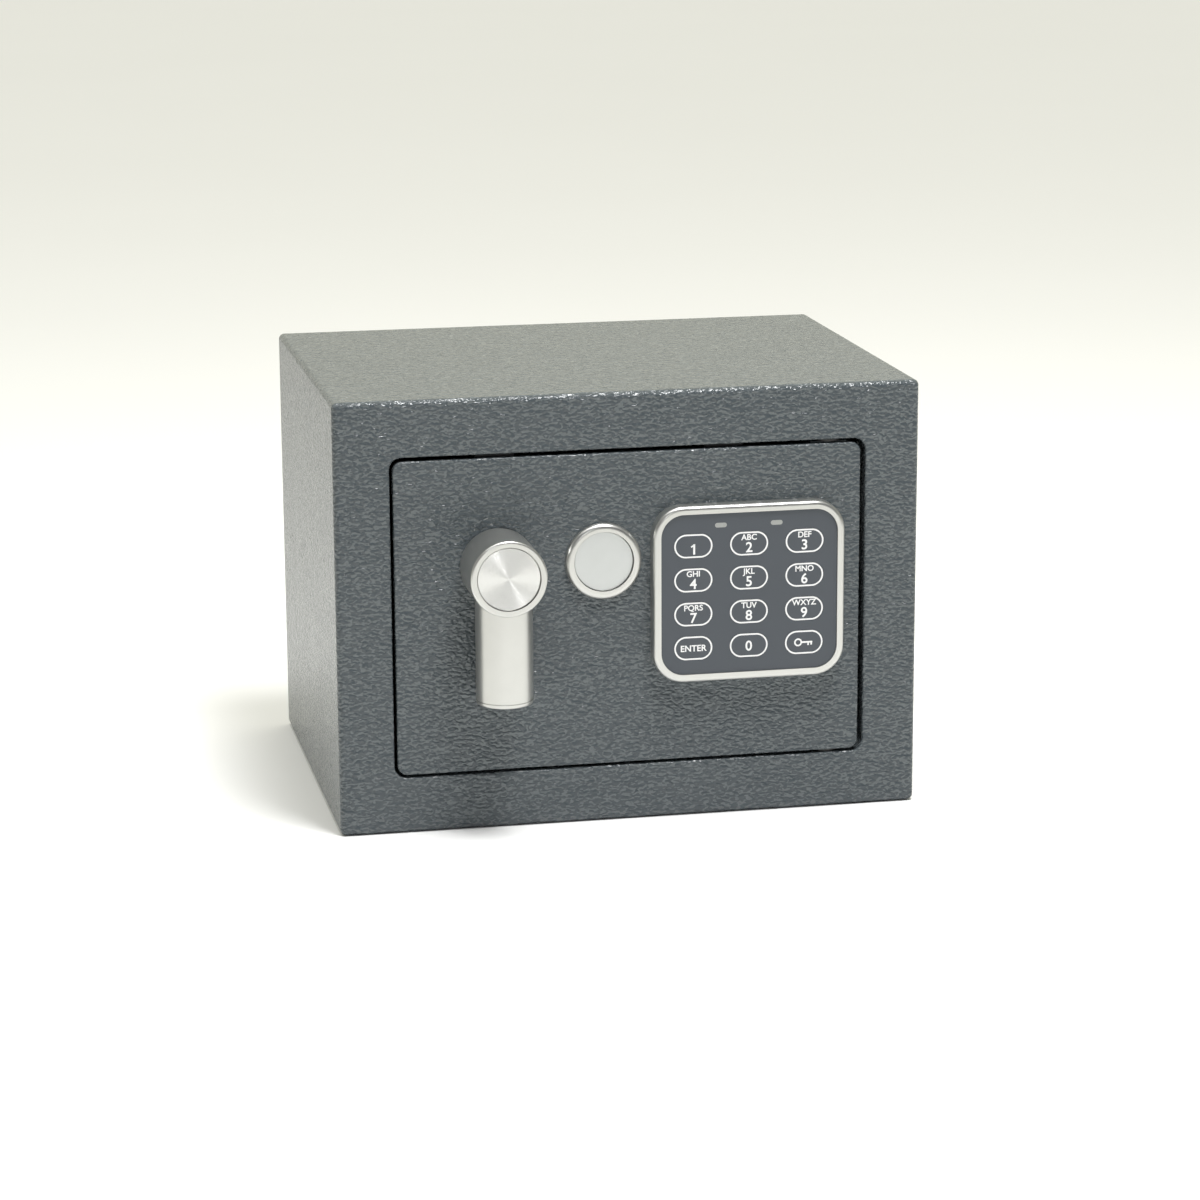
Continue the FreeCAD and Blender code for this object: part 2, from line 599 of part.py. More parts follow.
def lock_bar():
    """A slotted plate with a flange for the bolts and an arm whose folded tab the solenoid can block."""
    low = MID_HEIGHT - BAR_HALF_HEIGHT
    high = MID_HEIGHT + BAR_HALF_HEIGHT
    plate = block(BAR_LEFT, BAR_RIGHT, BAR_FRONT, BAR_BACK, low, high)
    flange = block(BAR_LEFT, BAR_LEFT + 3, BAR_FRONT, -54, low, high)
    arm = block(BAR_RIGHT - 1, -2, BAR_FRONT, BAR_BACK, 85.5, 93)
    tab = block(-5, -2, BAR_FRONT, -64.5, 80.2, 93)
    offset = CRANK_RADIUS * math.sqrt(0.5)
    half_slot = CRANK_PIN_RADIUS + 0.4
    crank_slot = slab(HANDLE_X + offset - half_slot, HANDLE_X + offset + half_slot, BAR_FRONT - 1, BAR_BACK + 1,
                      HANDLE_Z - CRANK_RADIUS - half_slot - 0.2, HANDLE_Z - offset + half_slot + 0.2, 3.3)
    radius = GUIDE_POST_RADIUS + RUNNING_CLEARANCE
    guide_slots = [obround(GUIDE_POST_X + (BOLT_STROKE + 0.3) / 2, z, BOLT_STROKE + 0.3 + 2 * radius, 2 * radius,
                           BAR_FRONT - 1, BAR_BACK + 1) for z in GUIDE_POST_HEIGHTS]
    screw_holes = [rod_x(2.0, BAR_LEFT - 1, BAR_LEFT + 4, BOLT_Y, z) for z in BOLT_HEIGHTS]
    return plate.fuse([flange, arm, tab]).removeSplitter().cut([crank_slot] + guide_slots + screw_holes)


def locking_bolts():
    bolts = []
    for z in BOLT_HEIGHTS:
        bolt = rod_x(BOLT_RADIUS, BOLT_TIP, BAR_LEFT, BOLT_Y, z)
        bolt = bolt.makeChamfer(1.0, [e for e in bolt.Edges if e.BoundBox.XMax < BOLT_TIP + 0.1])
        bolts.append(bolt.cut(rod_x(2.0, BAR_LEFT - 10, BAR_LEFT + 1, BOLT_Y, z)))
    return Part.makeCompound(bolts)


def bolt_screws():
    face = BAR_LEFT + 3
    return Part.makeCompound([rod_x(3.4, face, face + 2.4, BOLT_Y, z).fuse(
        rod_x(2.0, BAR_LEFT - 10, face, BOLT_Y, z)) for z in BOLT_HEIGHTS])


# ---- Solenoid ----

def solenoid_frame():
    x0 = SOLENOID_X - 10
    x1 = SOLENOID_X + 10
    wall = 1.5
    outer = block(x0, x1, DOOR_REAR, SOLENOID_Y + 10, SOLENOID_BOTTOM, SOLENOID_TOP)
    inner = block(x0 - 1, x1 + 1, DOOR_REAR + wall, SOLENOID_Y + 11, SOLENOID_BOTTOM + wall, SOLENOID_TOP - wall)
    return outer.cut([inner, rod_z(PLUNGER_RADIUS + 0.3, SOLENOID_TOP - 3, SOLENOID_TOP + 1, SOLENOID_X, SOLENOID_Y)])


def solenoid_coil():
    low = SOLENOID_BOTTOM + 1.5
    high = SOLENOID_TOP - 1.5
    winding = rod_z(8.6, low, high, SOLENOID_X, SOLENOID_Y)
    cheeks = [rod_z(9.5, z, z + 1.4, SOLENOID_X, SOLENOID_Y) for z in (low, high - 1.4)]
    terminal = block(SOLENOID_X + 6, SOLENOID_X + 9.8, SOLENOID_Y - 2, SOLENOID_Y + 2, 51, 61)
    bore = rod_z(PLUNGER_RADIUS + 0.3, low + 1, high + 1, SOLENOID_X, SOLENOID_Y)
    return winding.fuse(cheeks + [terminal]).removeSplitter().cut(bore)


def solenoid_plunger():
    """The plunger is latched by its neck, and its top is bevelled so that the locking bar can push it down."""
    low = 50.0
    body = rod_z(PLUNGER_RADIUS, low, PLUNGER_TOP, SOLENOID_X, SOLENOID_Y)
    neck = rod_z(PLUNGER_RADIUS + 1, NECK_BOTTOM, NECK_BOTTOM + 1.6, SOLENOID_X, SOLENOID_Y).cut(
        rod_z(2.0, NECK_BOTTOM, NECK_BOTTOM + 1.6, SOLENOID_X, SOLENOID_Y))
    points = [V(SOLENOID_X, SOLENOID_Y - 5, PLUNGER_TOP), V(SOLENOID_X + 4, SOLENOID_Y - 5, PLUNGER_TOP),
              V(SOLENOID_X + 4, SOLENOID_Y - 5, PLUNGER_TOP - 1.8), V(SOLENOID_X, SOLENOID_Y - 5, PLUNGER_TOP)]
    bevel = Part.Face(Part.makePolygon(points)).extrude(V(0, 10, 0))
    return body.cut([neck, bevel])


def solenoid_spring():
    return coil_spring(3.9, 0.3, 3.3, 1.1, V(SOLENOID_X, SOLENOID_Y, SOLENOID_TOP + 0.35))


def override_link():
    """A forked tail on the plunger that the emergency lock's cam pushes down."""
    plate = block(SOLENOID_X - 3.6, SOLENOID_X + 3.6, SOLENOID_Y - 3.2, -60.5, NECK_BOTTOM, NECK_BOTTOM + 1.5)
    slot = block(SOLENOID_X - 2.05, SOLENOID_X + 2.05, SOLENOID_Y - 4, SOLENOID_Y, NECK_BOTTOM - 1, NECK_BOTTOM + 2)
    seat = rod_z(2.05, NECK_BOTTOM - 1, NECK_BOTTOM + 2, SOLENOID_X, SOLENOID_Y)
    tail = block(SOLENOID_X - 3, SOLENOID_X + 3, -62.5, -60.5, NECK_BOTTOM, LOCK_Z - LOCK_CAM_REACH - 0.5)
    return plate.cut([slot, seat]).fuse(tail).removeSplitter()


def solenoid_leads():
    """Two wires from the coil's terminal to the control board's socket."""
    leads = []
    for z_start, z_end in ((54.0, 55.0), (58.0, 58.0 - 0.6)):
        points = [V(SOLENOID_X + 9.8, SOLENOID_Y, z_start), V(4.0, SOLENOID_Y, z_start),
                  V(7.6, -69.8, z_end), V(12.0, -69.8, z_end)]
        wire, radii = lead(points, 0.6)
        print("solenoid lead arc radii:", [round(r, 1) for r in radii])
        leads.append(wire)
    return Part.makeCompound(leads)


# ---- Emergency lock ----

def key_cover_ring():
    ring = rod_y(RING_RADIUS, FRONT - RING_HEIGHT, FRONT, LOCK_X, LOCK_Z)
    ring = ring.makeFillet(2.0, edges_on_plane(ring, FRONT - RING_HEIGHT))
    return ring.cut(rod_y(RING_BORE, FRONT - 5, FRONT + 1, LOCK_X, LOCK_Z))


def key_cover_cap():
    disc = rod_y(RING_BORE - 0.15, FRONT - 1.3, FRONT - 0.1, LOCK_X, LOCK_Z)
    return disc.makeFillet(0.3, edges_on_plane(disc, FRONT - 1.3))


def override_barrel():
    return rod_y(LOCK_RADIUS, FRONT, -63, LOCK_X, LOCK_Z).cut(
        rod_y(PLUG_RADIUS + RUNNING_CLEARANCE, FRONT - 1, -62, LOCK_X, LOCK_Z))


def override_plug():
    plug = rod_y(PLUG_RADIUS, FRONT + 0.5, -63, LOCK_X, LOCK_Z)
    stub = block(LOCK_X - 2.5, LOCK_X + 2.5, -63, LOCK_CAM_BACK, LOCK_Z - 2.5, LOCK_Z + 2.5)
    keyway = rod_y(4.6, FRONT, FRONT + 6, LOCK_X, LOCK_Z).cut(rod_y(3.2, FRONT, FRONT + 6, LOCK_X, LOCK_Z))
    notch = block(LOCK_X - 0.8, LOCK_X + 0.8, FRONT, FRONT + 3, LOCK_Z + 4, LOCK_Z + 5.4)
    thread = rod_y(1.5, -70, LOCK_CAM_BACK + 1, LOCK_X, LOCK_Z)
    return plug.fuse(stub).cut([keyway, notch, thread])


def override_cam():
    hub = rod_y(5.5, LOCK_CAM_FRONT, LOCK_CAM_BACK, LOCK_X, LOCK_Z)
    tip = rod_y(4.5, LOCK_CAM_FRONT, LOCK_CAM_BACK, LOCK_X + LOCK_CAM_REACH - 4.5, LOCK_Z)
    bar = block(LOCK_X, LOCK_X + LOCK_CAM_REACH - 4.5, LOCK_CAM_FRONT, LOCK_CAM_BACK, LOCK_Z - 4.5, LOCK_Z + 4.5)
    square = block(LOCK_X - 2.5, LOCK_X + 2.5, LOCK_CAM_FRONT - 1, LOCK_CAM_BACK + 1, LOCK_Z - 2.5, LOCK_Z + 2.5)
    return hub.fuse([tip, bar]).removeSplitter().cut(square)


def override_cam_screw():
    head = rod_y(4.0, LOCK_CAM_BACK, LOCK_CAM_BACK + 2.2, LOCK_X, LOCK_Z)
    return head.fuse(rod_y(1.5, -70, LOCK_CAM_BACK, LOCK_X, LOCK_Z))


SUB_PARTS = (body_shell, rear_panel, hinge_plates, door_stops, floor_mat, door_plate, hinge_blocks, hinge_pins,
             hinge_washers, bolt_guide_bracket, guide_posts, cover_posts, cover_screws, door_back_cover,
             battery_tray, batteries, battery_contacts, battery_cover, control_board, board_components,
             reset_button, keypad_bezel, keypad_overlay, led_lenses, keypad_board, key_domes, door_nuts,
             handle_lever, handle_cap, handle_screw, spindle, spindle_clip, spindle_cam, lock_bar,
             locking_bolts, bolt_screws, solenoid_frame, solenoid_coil, solenoid_plunger, solenoid_spring,
             override_link, solenoid_leads, key_cover_ring, key_cover_cap, override_barrel, override_plug,
             override_cam, override_cam_screw)


def main():
    os.makedirs("parts", exist_ok=True)
    shapes = {make.__name__: make() for make in SUB_PARTS}
    shapes.update({f"key_{name}": key_pad(x, z) for name, x, z in key_places()})
    for name, shape in shapes.items():
        shape.exportStep(f"parts/{name}.step")
        print(f"{name}: {len(shape.Solids)} solid(s), {shape.Volume:.0f} mm3, valid {shape.isValid()}")
    print(len(shapes), "sub-parts")


main()
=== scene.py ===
import math

import bmesh
import bpy
from mathutils import Matrix, Vector


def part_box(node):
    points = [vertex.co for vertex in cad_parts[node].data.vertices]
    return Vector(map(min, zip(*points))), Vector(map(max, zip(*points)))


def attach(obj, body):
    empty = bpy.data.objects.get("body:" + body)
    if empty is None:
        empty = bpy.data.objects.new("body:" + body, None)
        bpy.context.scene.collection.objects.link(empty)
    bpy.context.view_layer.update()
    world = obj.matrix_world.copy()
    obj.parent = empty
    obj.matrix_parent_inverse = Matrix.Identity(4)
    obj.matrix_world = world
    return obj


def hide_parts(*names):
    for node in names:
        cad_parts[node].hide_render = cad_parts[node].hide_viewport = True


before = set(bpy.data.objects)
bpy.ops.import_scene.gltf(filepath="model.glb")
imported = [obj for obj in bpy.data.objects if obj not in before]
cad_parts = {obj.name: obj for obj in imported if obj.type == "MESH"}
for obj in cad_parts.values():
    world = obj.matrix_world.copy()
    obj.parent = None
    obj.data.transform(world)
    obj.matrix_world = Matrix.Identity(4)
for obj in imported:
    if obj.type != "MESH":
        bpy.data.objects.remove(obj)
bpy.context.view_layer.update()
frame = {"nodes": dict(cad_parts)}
nodes = frame["nodes"]

MM = 0.001


# ---- A small way to write nodes ----

class Signal:
    """A socket of a node. Arithmetic on it adds Math nodes, so a pattern reads as an expression."""

    def __init__(self, nodes, socket):
        self.nodes = nodes
        self.socket = socket

    def math(self, operation, first, second):
        return self.nodes.add("ShaderNodeMath", {"operation": operation}, {0: first, 1: second})

    def __add__(self, other):
        return self.math("ADD", self, other)

    def __sub__(self, other):
        return self.math("SUBTRACT", self, other)

    def __rsub__(self, other):
        return self.math("SUBTRACT", other, self)

    def __mul__(self, other):
        return self.math("MULTIPLY", self, other)

    __radd__ = __add__
    __rmul__ = __mul__

    def steps_up(self, low, high):
        """0 below low, 1 above high and a smooth rise between."""
        settings = {"interpolation_type": "SMOOTHSTEP"}
        inputs = {"Value": self, "From Min": low, "From Max": high}
        return self.nodes.add("ShaderNodeMapRange", settings, inputs)


class Nodes:
    """The node tree of a material or of the world."""

    def __init__(self, tree):
        self.tree = tree

    def add(self, kind, settings, inputs, output=0):
        made = self.tree.nodes.new(kind)
        for setting, value in settings.items():
            setattr(made, setting, value)
        for socket, value in inputs.items():
            self.feed(made.inputs[socket], value)
        return Signal(self, made.outputs[output])

    def feed(self, socket, value):
        if isinstance(value, Signal):
            self.tree.links.new(value.socket, socket)
        else:
            socket.default_value = value

    def mix(self, share, first, second):
        inputs = {0: share, 6: colour(first), 7: colour(second)}
        return self.add("ShaderNodeMix", {"data_type": "RGBA"}, inputs, 2)


class Recipe(Nodes):
    """A material, its Principled shader and the nodes that lead to it."""

    def __init__(self, name, metallic=0.0, **constants):
        self.material = bpy.data.materials.new(name)
        self.material.use_nodes = True
        super().__init__(self.material.node_tree)
        self.shader = self.tree.nodes["Principled BSDF"]
        self.shader.inputs["Metallic"].default_value = metallic
        for socket, value in constants.items():
            self.shader.inputs[socket.replace("_", " ").title().replace("Ior", "IOR")].default_value = value

    def place(self, scale=(1.0, 1.0, 1.0), location=(0.0, 0.0, 0.0)):
        """Object coordinates in metres, stretched and moved."""
        coordinates = self.add("ShaderNodeTexCoord", {}, {}, "Object")
        inputs = {"Vector": coordinates, "Scale": scale, "Location": location}
        return self.add("ShaderNodeMapping", {}, inputs)

    def axis(self, name):
        coordinates = self.add("ShaderNodeTexCoord", {}, {}, "Object")
        return self.add("ShaderNodeSeparateXYZ", {}, {0: coordinates}, name)

    def noise(self, size, detail=2.0, roughness=0.5, distortion=0.0,
              stretch=(1.0, 1.0, 1.0), shift=(0.0, 0.0, 0.0)):
        """Soft noise whose blotches are about this many metres across."""
        return self.add("ShaderNodeTexNoise", {}, {
            "Vector": self.place(stretch, shift), "Scale": 1.0 / size, "Detail": detail,
            "Roughness": roughness, "Distortion": distortion})

    def bump(self, height, depth):
        inputs = {"Height": height, "Distance": depth, "Strength": 1.0, "Filter Width": 0.3}
        return self.add("ShaderNodeBump", {}, inputs)

    def finish(self, **inputs):
        for socket, value in inputs.items():
            self.feed(self.shader.inputs[socket.replace("_", " ").title()], value)
        return self.material


def colour(value):
    return value if isinstance(value, Signal) else (*value, 1.0)


# ---- Camera and studio ----

VIEW_AZIMUTH = math.radians(-11.54)
VIEW_ELEVATION = math.radians(13.40)
VIEW_ROLL = math.radians(-0.31)
VIEW_DISTANCE = 1.3879
VIEW_TARGET = Vector((-0.0123, -0.085, 0.0888))
LENS = 107.67

LIT_SPOT = (0.0, -0.085, 0.12)
SUN_WIDTH = math.radians(50)
FRONT_WALL = (0.10, 0.105, 0.11)
BACK_WALL = (0.86, 0.85, 0.71)


def add_camera():
    back = Vector((math.sin(VIEW_AZIMUTH) * math.cos(VIEW_ELEVATION),
                   -math.cos(VIEW_AZIMUTH) * math.cos(VIEW_ELEVATION), math.sin(VIEW_ELEVATION)))
    camera = bpy.data.objects.new("camera", bpy.data.cameras.new("camera"))
    camera.data.lens = LENS
    camera.data.sensor_width = 36.0
    camera.location = VIEW_TARGET + back * VIEW_DISTANCE
    level = (-back).to_track_quat("-Z", "Y")
    camera.rotation_mode = "QUATERNION"
    camera.rotation_quaternion = level @ Matrix.Rotation(VIEW_ROLL, 4, "Z").to_quaternion()
    bpy.context.scene.collection.objects.link(camera)
    bpy.context.scene.camera = camera


def add_softbox(name, place, size, power):
    light = bpy.data.lights.new(name, "AREA")
    light.shape = "RECTANGLE"
    light.size, light.size_y = size
    light.energy = power
    box = bpy.data.objects.new(name, light)
    box.location = place
    box.visible_camera = False
    box.rotation_mode = "QUATERNION"
    box.rotation_quaternion = (Vector(LIT_SPOT) - Vector(place)).to_track_quat("-Z", "Y")
    bpy.context.scene.collection.objects.link(box)


def add_room_light():
    """A white studio: bright behind the object and dimmer on the side of the camera."""
    world = bpy.data.worlds.new("white_studio")
    bpy.context.scene.world = world
    world.use_nodes = True
    room = Nodes(world.node_tree)
    direction = room.add("ShaderNodeTexCoord", {}, {}, "Generated")
    depth = room.add("ShaderNodeSeparateXYZ", {}, {0: direction}, "Y")
    shade = room.mix(depth.steps_up(-0.55, 0.45), FRONT_WALL, BACK_WALL)
    room.feed(world.node_tree.nodes["Background"].inputs["Color"], shade)


def add_studio():
    bpy.context.scene.view_settings.view_transform = "Standard"
    add_room_light()
    sun = bpy.data.lights.new("high_soft_light", "SUN")
    sun.energy = 1.0
    sun.angle = SUN_WIDTH
    high = bpy.data.objects.new("high_soft_light", sun)
    high.rotation_mode = "QUATERNION"
    high.rotation_quaternion = Vector((0.2, 0.0, -1.0)).to_track_quat("-Z", "Y")
    bpy.context.scene.collection.objects.link(high)
    add_softbox("overhead_softbox", (0.14, -0.40, 1.2), (0.30, 0.55), 15.0)
    add_softbox("front_softbox", (-0.30, -1.80, 0.70), (0.24, 0.20), 2.2)


# ---- Finishes ----

def powder_coat():
    """Slate grey hammer-texture paint: short worm-like ridges that run mostly level, with a painted highlight
    that lightens the upward-facing sides of the ridges in the colour.
    """
    coat = Recipe("slate_powder_coat", specular_ior_level=0.45)
    level = (0.60, 0.85, 1.0)
    ridge = 1.1 * MM
    swell = coat.noise(ridge, 0.0, 0.4, 0.5, level)
    # The ridges sampled a little higher up: where they rise, the colour is lightened as a painted highlight
    # on their upward-facing sides.
    above = coat.noise(ridge, 0.0, 0.4, 0.5, level, (0.0, 0.20 * MM, 0.26 * MM))
    painted_ridge_highlights = (above - swell).steps_up(0.00, 0.10)
    pools = coat.noise(22 * MM, 2.0, 0.5, 0.0, shift=(1.7, 0.0, 0.0))
    shade = coat.mix(pools, (0.058, 0.071, 0.079), (0.073, 0.085, 0.093))
    return coat.finish(
        # (0.150, 0.168, 0.172) is the colour of the painted ridge highlights.
        Base_Color=coat.mix(painted_ridge_highlights * 0.62, shade, (0.150, 0.168, 0.172)),
        Roughness=0.16 + 0.06 * pools,
        Normal=coat.bump(swell, 0.7 * MM))


def satin_silver(name, tone, gloss=0.29):
    """Fine-blasted zinc casting with satin plating."""
    metal = Recipe(name, metallic=0.9)
    grain = metal.noise(0.35 * MM, 2.0)
    cloud = metal.noise(9 * MM, 2.0, shift=(0.4, 0.0, 0.0))
    return metal.finish(
        Base_Color=metal.mix(cloud, tone, tuple(c * 1.12 for c in tone)),
        Roughness=gloss + 0.08 * cloud + 0.05 * grain,
        Normal=metal.bump(grain, 0.004 * MM))


def spun_disc(name, centre, spread, base):
    """Metal turned on a lathe: fine rings that pull highlights into rays from the middle."""
    metal = Recipe(name, metallic=0.95)
    place = metal.place(location=tuple(-c for c in centre))
    flat = metal.add("ShaderNodeVectorMath", {"operation": "MULTIPLY"}, {0: place, 1: (1.0, 0.0, 1.0)})
    radius = metal.add("ShaderNodeVectorMath", {"operation": "LENGTH"}, {0: flat}, "Value")
    outward = metal.add("ShaderNodeVectorMath", {"operation": "NORMALIZE"}, {0: flat})
    rings = metal.add("ShaderNodeTexWhiteNoise", {"noise_dimensions": "1D"}, {"W": radius * 61000.0})
    bands = metal.add("ShaderNodeTexNoise", {"noise_dimensions": "1D"}, {"W": radius * 2600.0, "Detail": 2.0})
    lean = metal.add("ShaderNodeVectorMath", {"operation": "SCALE"}, {
        0: outward, "Scale": (rings - 0.5) * spread + (bands - 0.5) * 0.05})
    facing = metal.add("ShaderNodeNewGeometry", {}, {}, "Normal")
    tilted = metal.add("ShaderNodeVectorMath", {"operation": "ADD"}, {0: facing, 1: lean})
    normal = metal.add("ShaderNodeVectorMath", {"operation": "NORMALIZE"}, {0: tilted})
    return metal.finish(
        Base_Color=metal.mix(bands, base, tuple(min(1.0, c * 1.06) for c in base)),
        Roughness=0.20 + 0.05 * bands,
        Normal=normal)


def overlay_film(name, tone):
    """Matt polyester film with a fine grain, printed slate grey."""
    film = Recipe(name)
    grain = film.noise(0.22 * MM, 2.0)
    cloud = film.noise(14 * MM, 1.0)
    return film.finish(
        Base_Color=film.mix(cloud, tone, tuple(c * 1.07 for c in tone)),
        Roughness=0.42 + 0.10 * grain,
        Normal=film.bump(grain, 0.006 * MM))


def white_print():
    ink = Recipe("white_print")
    grain = ink.noise(0.12 * MM, 2.0)
    return ink.finish(
        Base_Color=ink.mix(grain, (0.80, 0.80, 0.80), (0.90, 0.90, 0.90)),
        Roughness=0.40 + 0.10 * grain)


def frosted_window():
    window = Recipe("frosted_window")
    cloud = window.noise(0.8 * MM, 2.0)
    return window.finish(
        Base_Color=window.mix(cloud, (0.30, 0.31, 0.30), (0.38, 0.39, 0.37)),
        Roughness=0.30 + 0.10 * cloud)


def moulded_plastic(name, tone, grain_size=0.5 * MM, depth=0.03 * MM, gloss=0.45):
    plastic = Recipe(name)
    grain = plastic.noise(grain_size, 3.0, 0.6)
    cloud = plastic.noise(30 * MM, 2.0, shift=(0.8, 0.0, 0.0))
    return plastic.finish(
        Base_Color=plastic.mix(cloud, tone, tuple(min(1.0, c * 1.2) for c in tone)),
        Roughness=gloss + 0.12 * grain,
        Normal=plastic.bump(grain, depth))


def plated_steel(name, tone, gloss, brushed=(1.0, 1.0, 1.0)):
    """Plated steel with faint drawn lines and cloudy plating."""
    steel = Recipe(name, metallic=1.0)
    lines = steel.noise(0.3 * MM, 3.0, 0.6, 0.0, brushed)
    cloud = steel.noise(6 * MM, 3.0, shift=(0.5, 0.0, 0.0))
    return steel.finish(
        Base_Color=steel.mix(cloud, tone, tuple(min(1.0, c * 1.15) for c in tone)),
        Roughness=gloss + 0.10 * lines + 0.08 * cloud,
        Normal=steel.bump(lines, 0.006 * MM))


def felt_cloth():
    """Needle-punched felt: matted fibres that lie every way."""
    felt = Recipe("grey_felt", sheen_weight=0.5, sheen_roughness=0.6)
    fibres = felt.noise(0.35 * MM, 4.0, 0.7, 1.6, (0.35, 1.0, 1.0))
    across = felt.noise(0.35 * MM, 4.0, 0.7, 1.6, (1.0, 0.35, 1.0), (0.6, 0.0, 0.0))
    mats = felt.noise(5 * MM, 3.0, 0.6, 0.5)
    tangle = fibres * 0.5 + across * 0.5
    return felt.finish(
        Base_Color=felt.mix(tangle * 0.7 + mats * 0.3, (0.020, 0.021, 0.024), (0.085, 0.088, 0.095)),
        Roughness=0.90 + 0.08 * mats,
        Normal=felt.bump(tangle + mats * 0.8, 0.35 * MM))


def circuit_board():
    board = Recipe("green_circuit_board")
    tracks = board.add("ShaderNodeTexBrick", {}, {
        "Vector": board.place(), "Scale": 260.0, "Mortar Size": 0.02, "Color1": (0.0, 0.0, 0.0, 1.0),
        "Color2": (0.2, 0.2, 0.2, 1.0), "Mortar": (1.0, 1.0, 1.0, 1.0)}, "Fac")
    cloud = board.noise(3 * MM, 2.0)
    return board.finish(
        Base_Color=board.mix(tracks * 0.6, (0.012, 0.105, 0.045), (0.05, 0.24, 0.10)),
        Roughness=0.30 + 0.15 * cloud,
        Normal=board.bump(tracks, 0.03 * MM))


def battery_sleeve():
    """Printed sleeve: a dark wrap with a copper-coloured end band."""
    sleeve = Recipe("battery_sleeve", metallic=0.4)
    height = sleeve.axis("Z")
    band = height.steps_up(0.1125, 0.1128)
    cloud = sleeve.noise(4 * MM, 2.0)
    return sleeve.finish(
        Base_Color=sleeve.mix(band, (0.025, 0.027, 0.03), (0.55, 0.30, 0.12)),
        Roughness=0.25 + 0.12 * cloud,
        Normal=sleeve.bump(cloud, 0.01 * MM))


def copper_winding():
    wire = Recipe("copper_winding", metallic=0.7)
    turns = wire.add("ShaderNodeTexWave", {"bands_direction": "Z"}, {
        "Vector": wire.place(), "Scale": 900.0, "Distortion": 0.4})
    cloud = wire.noise(2 * MM, 2.0)
    return wire.finish(
        Base_Color=wire.mix(cloud, (0.38, 0.13, 0.04), (0.52, 0.21, 0.07)),
        Roughness=0.28 + 0.15 * cloud,
        Normal=wire.bump(turns, 0.12 * MM))


def paint(material, *names):
    for name in names:
        slots = nodes[name].data.materials
        slots.clear()
        slots.append(material)


KEY_LEGENDS = {
    "1": ("", "1"), "2": ("ABC", "2"), "3": ("DEF", "3"), "4": ("GHI", "4"), "5": ("JKL", "5"),
    "6": ("MNO", "6"), "7": ("PQRS", "7"), "8": ("TUV", "8"), "9": ("WXYZ", "9"), "0": ("", "0"),
}
KEYS = (*KEY_LEGENDS, "enter", "key")
FILM_TONE = (0.063, 0.072, 0.085)


def centre_of(node):
    low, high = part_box(node)
    return (low + high) / 2


def finish_cad_nodes():
    paint(powder_coat(),
          "body_shell", "rear_panel", "door_plate", "hinge_plates", "hinge_blocks", "bolt_guide_bracket")
    paint(satin_silver("satin_silver", (0.54, 0.54, 0.52), 0.24),
          "handle_lever", "keypad_bezel", "key_cover_ring")
    paint(spun_disc("spun_handle_cap", centre_of("handle_cap"), 0.75, (0.62, 0.62, 0.61)), "handle_cap")
    paint(satin_silver("satin_cover_cap", (0.55, 0.565, 0.56), 0.36), "key_cover_cap")
    paint(overlay_film("slate_overlay", FILM_TONE), "keypad_overlay", *(f"key_{key}" for key in KEYS))
    paint(frosted_window(), "led_lenses")
    paint(felt_cloth(), "floor_mat")
    paint(moulded_plastic("black_cover_plastic", (0.020, 0.020, 0.022)),
          "door_back_cover", "battery_cover", "battery_tray")
    paint(moulded_plastic("black_epoxy", (0.018, 0.018, 0.018), 0.3 * MM, 0.01 * MM, 0.55),
          "board_components")
    paint(moulded_plastic("black_nylon", (0.03, 0.03, 0.03), 0.4 * MM, 0.01 * MM, 0.40), "hinge_washers")
    paint(moulded_plastic("red_button", (0.50, 0.02, 0.02), 0.6 * MM, 0.004 * MM, 0.20), "reset_button")
    paint(moulded_plastic("red_insulation", (0.42, 0.02, 0.02), 0.6 * MM, 0.01 * MM, 0.35),
          "solenoid_leads")
    paint(circuit_board(), "control_board", "keypad_board")
    paint(battery_sleeve(), "batteries")
    paint(copper_winding(), "solenoid_coil")
    paint(plated_steel("bright_zinc", (0.55, 0.56, 0.55), 0.28),
          "cover_screws", "bolt_screws", "door_nuts", "spindle", "spindle_cam", "lock_bar", "override_cam",
          "override_cam_screw", "solenoid_plunger", "guide_posts", "cover_posts", "solenoid_frame",
          "override_link")
    paint(plated_steel("polished_nickel", (0.66, 0.65, 0.62), 0.10, (0.1, 1.0, 1.0)), "locking_bolts")
    paint(plated_steel("spring_steel", (0.58, 0.58, 0.56), 0.20),
          "battery_contacts", "key_domes", "solenoid_spring")
    # The door stops take this near-black finish as painted shade: they show through the door gap, and their
    # darkness stands in for the shade there.
    paint(plated_steel("black_oxide", (0.03, 0.03, 0.032), 0.35),
          "hinge_pins", "handle_screw", "spindle_clip", "door_stops")
    paint(plated_steel("plated_brass", (0.60, 0.56, 0.46), 0.22), "override_barrel", "override_plug")


# ---- Printing on the keys ----

PRINT_THICKNESS = 0.03 * MM
OUTLINE_INSET = 0.12 * MM
OUTLINE_WIDTH = 0.62 * MM
CAP_SHARE = 0.72
DIGIT_HEIGHT = 4.0 * MM
DIGIT_WEIGHT = 0.10 * MM
DIGIT_DROP = 3.35 * MM
LONE_DIGIT_DROP = 2.1 * MM
LETTER_HEIGHT = 2.3 * MM
LETTER_WEIGHT = 0.07 * MM
LETTER_RISE = 1.45 * MM
WORD_HEIGHT = 2.5 * MM
WORD_WEIGHT = 0.08 * MM


def link(mesh, name):
    piece = bpy.data.objects.new(name, mesh)
    bpy.context.scene.collection.objects.link(piece)
    return piece


def inset(shape, thickness):
    """Insets the whole flat shape from its edge."""
    bmesh.ops.inset_region(shape, faces=shape.faces[:], thickness=thickness, use_even_offset=True,
                           use_boundary=True)


def raise_faces(shape, height):
    raised = bmesh.ops.extrude_face_region(shape, geom=shape.faces[:])
    moved = [v for v in raised["geom"] if isinstance(v, bmesh.types.BMVert)]
    bmesh.ops.translate(shape, verts=moved, vec=(0.0, 0.0, height))


